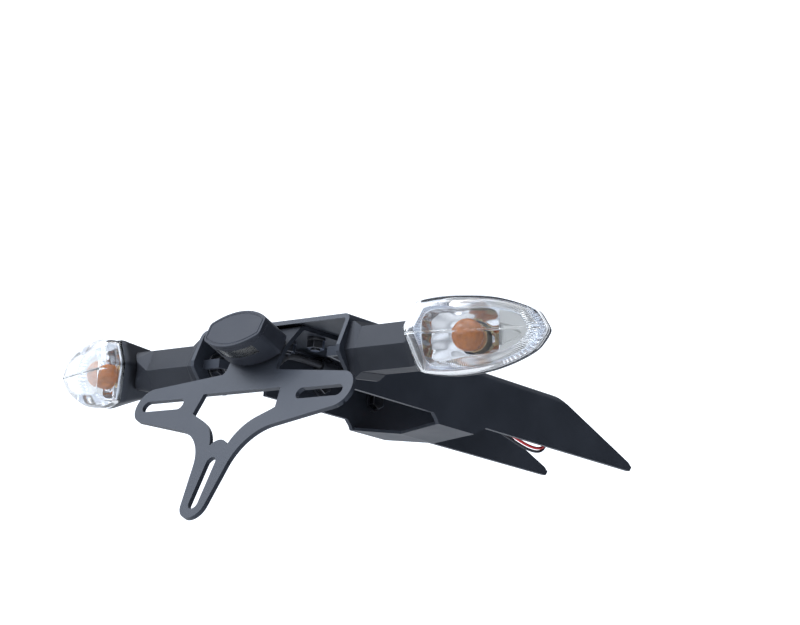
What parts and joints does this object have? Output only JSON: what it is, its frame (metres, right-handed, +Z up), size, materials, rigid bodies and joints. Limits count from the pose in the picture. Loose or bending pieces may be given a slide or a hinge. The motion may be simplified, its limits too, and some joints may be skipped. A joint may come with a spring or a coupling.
{
  "type": "tail tidy",
  "caption": "Folded black steel bracket that carries a number plate hanger with long slots, a small plate lamp and clear teardrop indicators on rubber stalks.",
  "frame": {"origin": "middle of the four fixing holes, on the deck's top face", "axes": "+X to the bike's right, +Y to its front along the deck, +Z up, square to the deck"},
  "size_m": [0.4186, 0.3886, 0.1387],
  "materials": {
    "black_steel": "satin black powder coat over folded steel",
    "lamp_black": "fine-grained black plastic",
    "black_rubber": "smooth black rubber",
    "clear_lens": "clear moulded plastic lens with flutes",
    "bright_reflector": "metallised plastic reflector",
    "amber_glass": "amber bulb glass",
    "zinc": "black zinc-plated steel",
    "bulb_cap": "plain brass",
    "board": "green circuit board",
    "led": "pale LED body",
    "red_wire": "red wire insulation",
    "black_wire": "black wire insulation"
  },
  "bodies": {
    "root": {"main_bracket": "black_steel", "plate_hanger": "black_steel", "hanger_screws": "zinc", "hanger_washers": "zinc", "hanger_nuts": "zinc", "lamp_cover": "lamp_black", "lamp_housing": "lamp_black", "lamp_window": "clear_lens", "lamp_board": "board", "lamp_leds": "led", "lamp_pad": "black_rubber", "lamp_screws": "zinc", "right_stalk": "black_rubber", "right_shell": "lamp_black", "right_lens": "clear_lens", "right_reflector": "bright_reflector", "right_bulb": "amber_glass", "right_bulb_holder": "bulb_cap", "right_stud": "zinc", "right_stud_nut": "zinc", "right_stud_washer": "zinc", "left_stalk": "black_rubber", "left_shell": "lamp_black", "left_lens": "clear_lens", "left_reflector": "bright_reflector", "left_bulb": "amber_glass", "left_bulb_holder": "bulb_cap", "left_stud": "zinc", "left_stud_nut": "zinc", "left_stud_washer": "zinc", "cable_clip": "black_rubber", "clip_screw": "zinc", "clip_nut": "zinc", "lamp_cable": "black_rubber", "red_wire": "red_wire", "black_wire": "black_wire", "wire_plug": "lamp_black"}
  },
  "joints": []
}
